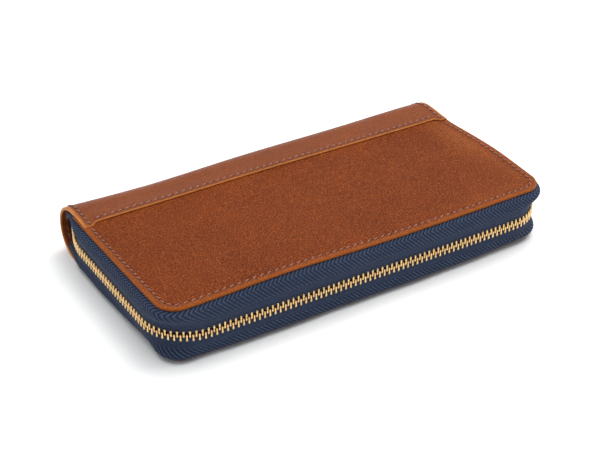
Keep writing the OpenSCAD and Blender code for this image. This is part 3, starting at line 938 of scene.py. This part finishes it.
def build_teeth():
    run, rows = chain_stations(0.25, FIRST_TOOTH_Y, SLIDER_Y)
    base = np.array([settle(*r[0], CHAIN_PULL) + (CHAIN_OUT + 0.42) * r[1] for r in rows])
    face = np.array([r[1] for r in rows])
    right_start = run[next(i for i, r in enumerate(rows)
                           if r[1][0] == 1.0 and r[0][1] > -FRONT + BASE_R)]
    shape = tooth_shape(1.0)
    for upper in (True, False):
        side = "upper" if upper else "lower"
        groups = {"": [], "_right": []}
        for s in np.arange(0.5 * PITCH * upper, run[-1], PITCH):
            x, y = np.interp(s, run, base[:, 0]), np.interp(s, run, base[:, 1])
            out = np.array((np.interp(s, run, face[:, 0]), np.interp(s, run, face[:, 1]), 0.0))
            out /= np.linalg.norm(out)
            up = np.array((0, 0, -1.0 if upper else 1.0))
            groups["_right" if s > right_start else ""].append(
                (np.array((x, y, MID)), out, np.cross(up, out), up))
        for suffix, frames in groups.items():
            obj = many(f"{side}_teeth_row{suffix}", shape, frames)
            finish_piece(obj, BRASS, f"{side}_half", [f"{side}_teeth{suffix}"])


def pad_shape(half_x, half_y, half_z):
    """A soft-edged block about the origin: verts and faces."""
    verts = []
    corner, sides = 0.45, 16
    levels = np.linspace(-math.pi / 2, math.pi / 2, 10)
    for level in levels:
        size = max(abs(math.cos(level)) ** corner, 0.3)
        z = half_z * math.copysign(abs(math.sin(level)) ** corner, level)
        verts += soft_ring(half_x * size, half_y * size, z, sides, corner)
    return np.array(verts), ring_faces(len(levels), sides)


def build_bottom_stop():
    """The crimp that closes the chain at its end beside the spine."""
    base, face = left_chain(FIRST_TOOTH_Y + 1.7)
    out = np.array((*face, 0.0))
    up = np.array((0.0, 0.0, 1.0))
    origin = np.array((*base, MID)) + (CHAIN_OUT + 0.3) * out
    obj = many("bottom_stop", pad_shape(1.0, 1.0, 2.6), [(origin, out, np.cross(up, out), up)])
    finish_piece(obj, BRASS, "lower_half", ["zip_bottom_stop"])


def build_main_zip():
    tape("upper_tape", True)
    tape("lower_tape", False)
    build_teeth()
    build_bottom_stop()


# --- carried-over CAD nodes

def dress(node, material, width):
    """Keeps a CAD node, with its edges rounded and a procedural material."""
    obj = frame["nodes"][node]
    for index in range(len(obj.material_slots)):
        obj.material_slots[index].material = material
    if not obj.material_slots:
        obj.data.materials.append(material)
    rounding = obj.modifiers.new("rounded_edges", "BEVEL")
    rounding.width = width * MM
    rounding.segments = 2
    rounding.limit_method = "ANGLE"
    rounding.angle_limit = math.radians(40)


def dress_nodes():
    for node in ("zip_slider", "slider_bail", "tab_rivet", "coin_slider", "coin_puller"):
        dress(node, BRASS, 0.12)
    for node in ("lower_top_stop", "upper_top_stop", "coin_end_stops"):
        dress(node, BRASS, 0.15)
    for node in ("upper_board", "lower_board"):
        dress(node, BOARD, 0.1)
    dress("coin_pocket_bottom", GUSSET_LEATHER, 0.12)


# --- inside the covers

def turned(upper, z_low, z_high):
    """Order of the two faces, so that z1 is the one that faces the inside of the wallet."""
    return (z_high, z_low) if upper else (z_low, z_high)


INNER_STEPS = [0, 0.1, 0.25, 0.5, 1.0, 1.8, 2.4, 3.0, 4.0]


def inner_plate(name, node, upper, radius=0.0, thin=0.0, material=None,
                body=None, corner=0.22, groove_d=None):
    """A sheet in place of a CAD node: same box, rounded edges, a stitch groove and a soft face."""
    low, high = box_mm(node)
    x, y, d = plate_grid((high[0] - low[0]) / 2, low[1], high[1], radius, 4.0, INNER_STEPS)
    d = np.minimum(d, high[1] - y)
    drop = edge_round(d, corner)
    hollow = 0.12 * bell(d, groove_d, 0.5) if groove_d else 0.0
    soft = 0.05 * np.sin(x * 0.09 + 1.3 * upper) * np.cos(y * 0.12) * smooth(d / 6)
    z_out, z_in = turned(upper, low[2] + thin, high[2] - thin)
    inwards = -1.0 if upper else 1.0
    face = z_in - inwards * (drop + hollow - np.minimum(soft, 0) * 0.5)
    back = z_out + inwards * drop
    rim = np.exp(-(np.clip(d, 0, None) / 0.45) ** 2)
    shift = (high[0] + low[0]) / 2
    obj = closed_sheet(name, np.dstack([x + shift, y, face]), np.dstack([x + shift, y, back]),
                       {"rim": (rim, rim), "ridge": (0 * x, 0 * x)})
    side = "upper" if upper else "lower"
    finish_piece(obj, material or INNER_LEATHER, body or f"{side}_half", [node])


def lining_lift(upper):
    """The lining's border follows the cover where the tape is sewn to it."""
    def lift(x, y):
        d = inset(x, y, HALF_L, FRONT, CORNER_R)
        near = np.exp(-(d / 16.0) ** 2)
        return near * (cover_lift(x, y) if upper else lower_lift(x, y))
    return lift


def spine_lining(name, upper):
    """The cloth that lines the inside of the round spine."""
    half = HALF_L - 4.5
    xs = axis_steps(2 * half, [0, 0.15, 0.5, 1.5], 5.0) - half
    ts = np.linspace(0, 0.995, 40)
    depths = (2.45 - 0.85 * smooth(ts / 0.5))[:, None] + 0 * xs[None, :]
    outer = strip_grid(xs, ts, upper, depths)
    inner = strip_grid(xs, ts, upper, depths + LINING_T)
    flat = np.zeros_like(depths)
    obj = closed_sheet(name, outer, inner, {"ridge": (flat, flat)})
    finish_piece(obj, LINING)
    return blend_spine(obj, upper)


def build_pockets(upper):
    """The slip pocket, and the stepped card pockets with a seam down the middle and each side."""
    side = "upper" if upper else "lower"
    half = f"{side}_half"
    normal = (0.0, 0.0, -1.0 if upper else 1.0)
    inner_plate(f"{side}_slip_pocket", f"{side}_slip_panel", upper, radius=SLIP_CORNER_R, thin=0.02,
                groove_d=SLIP_STITCH_INSET)
    low, high = box_mm(f"{side}_slip_panel")
    path = cover_path(high[1] - 2, SLIP_STITCH_INSET, high[0], -low[1], SLIP_CORNER_R)
    z = (low[2] if upper else high[2]) + normal[2] * -0.1
    inner_stitches(f"{side}_slip_stitches", np.c_[path, np.full(len(path), z)], normal, half, 0.2)
    seam = []
    for row in range(1, CARD_ROWS + 1):
        node = f"{side}_card_pocket_{row}"
        inner_plate(f"{side}_card_slot_{row}", node, upper, thin=0.03, groove_d=CARD_STITCH_INSET)
        low, high = box_mm(node)
        z = (low[2] if upper else high[2]) - normal[2] * 0.13
        xs = np.arange(low[0] + 3, high[0] - 3, 1.0)
        mouth = [(x, low[1] + CARD_STITCH_INSET, z) for x in xs]
        inner_stitches(f"{side}_card_mouth_stitches_{row}", mouth, normal, half, 0.22)
        last = high[1] - 3 if row == CARD_ROWS else low[1] + 8.4
        seam += [(y, z + normal[2] * 0.06) for y in np.arange(low[1] + 0.6, last, 0.6)]
    seams = {"centre": 0.0, "left": low[0] + CARD_STITCH_INSET, "right": high[0] - CARD_STITCH_INSET}
    for where, x in seams.items():
        line = [(x, y, z) for y, z in seam]
        inner_stitches(f"{side}_card_seam_{where}", line, normal, half, 0.24)


def build_lining(upper):
    side = "upper" if upper else "lower"
    low, high = box_mm(f"{side}_board")
    z0 = low[2] - LINING_T if upper else high[2]
    half_x, y0, y1 = HALF_L - 1.0, -FRONT + 1.0, SPINE_Y - 0.2
    radius = BASE_R - 1.0
    x, y, d = plate_grid(half_x, y0, y1, radius, 4.0, [0, 0.1, 0.25, 0.5, 1.0, 2.0, 4.0])
    raised = lining_lift(upper)(x, y)
    drop = edge_round(d, 0.18)
    zeros = np.zeros_like(x)
    obj = closed_sheet(f"{side}_flat_lining",
                       np.dstack([x, y, z0 + LINING_T + raised - drop]),
                       np.dstack([x, y, z0 + raised + drop]), {"ridge": (zeros, zeros)})
    finish_piece(obj, LINING, f"{side}_half", [f"{side}_lining"])
    spine_lining(f"{side}_spine_lining", upper)


# --- gussets

def gusset(upper, s):
    """A leaf folded in to a slanting crease, between the card pockets and the coin pocket."""
    side, where = ("upper" if upper else "lower"), ("left" if s < 0 else "right")
    low, high = box_mm(f"{side}_gusset_{where}")
    x_out = max(abs(low[0]), abs(high[0]))
    depth = x_out - min(abs(low[0]), abs(high[0]))
    z_lo, z_hi = low[2] + GUSSET_GAP, high[2] - GUSSET_GAP
    ys = np.linspace(low[1], high[1] - 0.4, 60)
    us = np.linspace(0, 1, 33)
    # the leaves lie close to the walls near their seams; evenly spaced, a slit opened at one
    hug = us - 0.13 * np.sin(2 * math.pi * us)
    grid = np.zeros((len(ys), len(us), 3))
    for i, y in enumerate(ys):
        fold = max(0.25, depth * (high[1] - y) / (high[1] - low[1]))
        reach = fold * (1 - np.abs(2 * us - 1) ** 1.5)
        grid[i, :, 0] = s * (x_out - reach)
        grid[i, :, 1] = y
        grid[i, :, 2] = z_lo + (z_hi - z_lo) * hug
    half = GUSSET_HALF_T * grid_normals(grid)
    zeros = np.zeros(grid.shape[:2])
    obj = closed_sheet(f"{side}_gusset_fold_{where}", grid + half, grid - half, {"rim": (zeros, zeros)})
    finish_piece(obj, GUSSET_LEATHER, None, [f"{side}_gusset_{where}"])
    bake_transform(obj)


# --- coin pocket

def coin_tape(upper):
    side = "upper" if upper else "lower"
    low, high = box_mm(f"coin_{side}_tape")
    sign = 1.0 if upper else -1.0
    chain_y = low[1] + 0.2
    far = abs((high[2] if upper else low[2]) - MID) - 0.2
    turn = 0.75
    bend = [(chain_y + turn - turn * math.cos(a), far - turn + turn * math.sin(a))
            for a in np.linspace(0, math.pi / 2, 7)]
    profile = [(chain_y, 0.95), (chain_y, far - turn - 0.1)] + bend
    profile += [(y, far) for y in np.linspace(chain_y + turn + 0.6, high[1], 12)]
    profile = np.array(profile)
    run = np.r_[0, np.cumsum(np.linalg.norm(np.diff(profile, axis=0), axis=1))]
    v = np.linspace(0, run[-1], 24)
    ys, zs = np.interp(v, run, profile[:, 0]), np.interp(v, run, profile[:, 1])
    xs = np.arange(low[0], high[0] + 0.01, 0.5)
    grid = np.zeros((len(xs), len(v), 3))
    grid[:, :, 0] = xs[:, None]
    grid[:, :, 1] = ys[None, :]
    grid[:, :, 2] = MID + sign * zs[None, :]
    normal = grid_normals(grid, sign)
    ridge = np.sin(2 * math.pi * (xs[:, None] + 1.1 * np.abs(v[None, :] - 4.5)) / 1.8)
    ridge = ridge * smooth((v[None, :] - 1.6) / 0.5)
    obj = closed_sheet(f"coin_{side}_zip_tape", grid + normal * (0.17 + 0.04 * ridge[:, :, None]),
                       grid - normal * 0.17, {"ridge": (ridge, ridge * 0)})
    finish_piece(obj, TAPE, "coin_pocket", [f"coin_{side}_tape"])


def coin_teeth(upper):
    side = "upper" if upper else "lower"
    low, high = box_mm(f"coin_{side}_teeth")
    pitch, half_w = 2.0, 0.425
    y = (low[1] + high[1]) / 2 - 0.1
    up = np.array((0.0, 0.0, -1.0 if upper else 1.0))
    out = np.array((0.0, -1.0, 0.0))
    frames = [(np.array((x, y, MID)), out, np.cross(up, out), up)
              for x in np.arange(low[0] + half_w, high[0] - half_w + 0.01, pitch)]
    obj = many(f"coin_{side}_teeth_row", tooth_shape(0.58), frames)
    finish_piece(obj, BRASS, "coin_pocket", [f"coin_{side}_teeth"])


def build_coin_pocket():
    for upper in (True, False):
        side = "upper" if upper else "lower"
        wall = f"coin_pocket_{side}_wall"
        inner_plate(f"coin_{side}_wall", wall, not upper, thin=0.01, groove_d=COIN_STITCH_INSET,
                    body="coin_pocket", corner=0.2)
        inner_plate(f"coin_{side}_lining", f"coin_pocket_{side}_lining", upper, thin=0.01,
                    material=LINING, body="coin_pocket", corner=0.15)
        low, high = box_mm(wall)
        normal = (0.0, 0.0, 1.0 if upper else -1.0)
        z = (high[2] if upper else low[2]) - normal[2] * 0.12
        left, right = low[0] + COIN_STITCH_INSET, high[0] - COIN_STITCH_INSET
        path = [(x, low[1] + COIN_STITCH_INSET) for x in np.arange(left, right, 1.0)]
        sides = [[(x, y) for y in np.arange(low[1] + 4.5, high[1] - 2, 1.0)]
                 for x in (left, right)]
        for name, line in (("mouth", path), ("left", sides[0]), ("right", sides[1])):
            line = np.c_[np.array(line), np.full(len(line), z)]
            inner_stitches(f"coin_{side}_stitches_{name}", line, normal, "coin_pocket", 0.18)
        coin_tape(upper)
        coin_teeth(upper)
    inner_plate("coin_hinge_strip", "coin_pocket_hinge_strip", False, thin=0.01,
                material=GUSSET_LEATHER, body="coin_pocket")
    coin_side(-1)
    coin_side(1)


def coin_side(s):
    """The pocket's side, pinched inwards between its two walls."""
    where = "left" if s < 0 else "right"
    low, high = box_mm(f"coin_pocket_{where}_side")
    outer_x = max(abs(low[0]), abs(high[0]))
    ys = np.linspace(low[1], high[1], 50)
    us = np.linspace(0, 1, 21)
    grid = np.zeros((len(ys), len(us), 3))
    for i, y in enumerate(ys):
        pinch = 1.5 * (1 - 0.5 * (y - low[1]) / (high[1] - low[1])) + 0.12 * math.sin(y * 0.4)
        grid[i, :, 0] = s * (outer_x - 0.25 - pinch * np.sin(np.pi * us) ** 1.4)
        grid[i, :, 1] = y
        grid[i, :, 2] = low[2] + 0.1 + (high[2] - low[2] - 0.2) * us
    away = np.zeros_like(grid)
    away[:, :, 0] = 0.22
    zeros = np.zeros(grid.shape[:2])
    obj = closed_sheet(f"coin_side_{where}", grid + away, grid - away, {"rim": (zeros, zeros)})
    finish_piece(obj, GUSSET_LEATHER, "coin_pocket", [f"coin_pocket_{where}_side"])


TAB_LOOP_R = 1.35
TAB_HALF_T = 1.1
TAB_NECK = 2.1


def build_pull_tab():
    """Two layers of leather folded round the bail's wire, stitched, with a round free end."""
    low, high = box_mm("pull_tab")
    rivet_low, rivet_high = box_mm("tab_rivet")
    centre_x = (rivet_low[0] + rivet_high[0]) / 2
    centre_z = (low[2] + high[2]) / 2
    half_w = (high[2] - low[2]) / 2
    length = high[1] - low[1]
    wire = length - TAB_LOOP_R
    ends = [half_w * (1 - math.cos(a)) for a in np.linspace(0.12, math.pi / 2, 14)]
    middle = list(np.linspace(half_w + 0.6, wire - 5.2, 24))
    neck = list(np.linspace(wire - 4.8, wire, 16))
    loop = [wire + TAB_LOOP_R * math.sin(a) for a in np.linspace(0.15, math.pi / 2 - 0.12, 8)]
    ts = np.array(ends + middle + neck + loop)
    us = np.sin(np.linspace(-math.pi / 2, math.pi / 2, 41))
    front, back = np.zeros((len(ts), len(us), 3)), np.zeros((len(ts), len(us), 3))
    rim = np.zeros((len(ts), len(us)))
    for i, t in enumerate(ts):
        width = math.sqrt(max(0.0, half_w ** 2 - max(0.0, half_w - t) ** 2))
        width += (TAB_NECK - half_w) * float(smooth((t - wire + 5.0) / 1.2))
        thick = TAB_HALF_T + (TAB_LOOP_R - TAB_HALF_T) * float(smooth((t - wire + 3.0) / 3.0))
        if t > wire:
            thick = math.sqrt(max(0.01, TAB_LOOP_R ** 2 - (t - wire) ** 2))
        d = np.minimum(width * (1 - np.abs(us)), t)
        groove = 0.16 * bell(d, 1.0, 0.32) * float(smooth((wire - 4.5 - t) / 1.5))
        face = thick * (1 - 0.07 * us ** 2) - np.minimum(edge_round(d, 0.5), 0.8 * thick) - groove
        y = low[1] + t
        front[i] = np.c_[centre_x + face, np.full(len(us), y), centre_z + width * us]
        back[i] = np.c_[centre_x - face, np.full(len(us), y), centre_z + width * us]
        rim[i] = np.exp(-(d / 0.35) ** 2)
    obj = closed_sheet("pull_tab_leather", front, back, {"rim": (rim, rim)})
    finish_piece(obj, STRIP_LEATHER, "main_tab", ["pull_tab"])


def build_tab_stitches():
    """A line of stitches just inside the pull tab's outline, on both faces."""
    low, high = box_mm("pull_tab")
    half_w = (high[2] - low[2]) / 2
    centre_z = (high[2] + low[2]) / 2
    r = half_w - 1.0
    straight = [(y, r) for y in np.arange(high[1] - 7.6, low[1] + half_w, -0.5)]
    round_end = [(low[1] + half_w - r * math.sin(a), r * math.cos(a))
                 for a in np.linspace(0.1, math.pi - 0.1, 16)]
    outline = straight + round_end + [(y, -z) for y, z in reversed(straight)]
    rivet_low, rivet_high = box_mm("tab_rivet")
    middle_x = (rivet_low[0] + rivet_high[0]) / 2
    for sign, name in ((1, "outer"), (-1, "inner")):
        x = middle_x + sign * 0.98
        line = [(x, y, centre_z + z) for y, z in outline]
        obj = stitch_row(f"tab_stitches_{name}", line, [(sign, 0.0, 0.0)] * len(line),
                         2.0, 0.7, 0.17)
        finish_piece(obj, THREAD, "main_tab")


def build_inside():
    for upper in (True, False):
        build_lining(upper)
        build_pockets(upper)
        for s in (-1, 1):
            gusset(upper, s)
    build_coin_pocket()
    build_pull_tab()
    build_tab_stitches()


# --- set

def build_floor():
    mesh = bpy.data.meshes.new("floor")
    mesh.from_pydata([(-6, -6, 0), (6, -6, 0), (6, 6, 0), (-6, 6, 0)], [], [(0, 1, 2, 3)])
    floor = bpy.data.objects.new("floor", mesh)
    bpy.context.scene.collection.objects.link(floor)
    mat, tree, shader = new_material("pale_floor", {"Roughness": 0.6, "Specular IOR Level": 0.2})
    tone = noise(tree, place(tree), 60.0, 2.0)
    colour = mix(tree, remap(tree, tone, 0.3, 0.7), (0.935, 0.94, 0.945), (0.95, 0.955, 0.96))
    tree.links.new(colour, shader.inputs["Base Color"])
    mesh.materials.append(mat)


def area_light(name, location, target, size, power, colour):
    data = bpy.data.lights.new(name, "AREA")
    data.shape = "RECTANGLE"
    data.size, data.size_y = size
    data.energy = power
    data.color = colour
    lamp = bpy.data.objects.new(name, data)
    lamp.location = location
    direction = np.array(target) - np.array(location)
    lamp.rotation_euler = Vector(direction).to_track_quat("-Z", "Y").to_euler()
    bpy.context.scene.collection.objects.link(lamp)


def build_studio():
    scene = bpy.context.scene
    scene.view_settings.view_transform = "Standard"
    world = bpy.data.worlds.new("studio")
    world.use_nodes = True
    backdrop = world.node_tree.nodes["Background"]
    backdrop.inputs["Color"].default_value = (0.95, 0.98, 1.0, 1)
    backdrop.inputs["Strength"].default_value = 0.46
    scene.world = world
    area_light("overhead", (0.1, 0.05, 1.6), (0, 0, 0), (2.2, 2.2), 29.0, (1.0, 0.995, 0.985))
    area_light("key", (0.6, 0.1, 1.0), (0, 0, 0), (1.1, 1.1), 8.0, (1.0, 0.985, 0.96))


CAMERA_MM = (-277.0, -445.0, 330.0)
CAMERA_DOWN = 31.6
CAMERA_TURN = -31.6
CAMERA_LENS = 79.62


def build_camera():
    data = bpy.data.cameras.new("camera")
    data.lens = CAMERA_LENS
    data.sensor_width = 36.0
    data.clip_start = 0.01
    data.clip_end = 50.0
    camera = bpy.data.objects.new("camera", data)
    camera.location = [c * MM for c in CAMERA_MM]
    camera.rotation_euler = (math.radians(90 - CAMERA_DOWN), 0, math.radians(CAMERA_TURN))
    bpy.context.scene.collection.objects.link(camera)
    bpy.context.scene.camera = camera


build_camera()
build_floor()
build_studio()
build_covers()
build_spine()
build_outer_stitches()
build_main_zip()
build_inside()
dress_nodes()
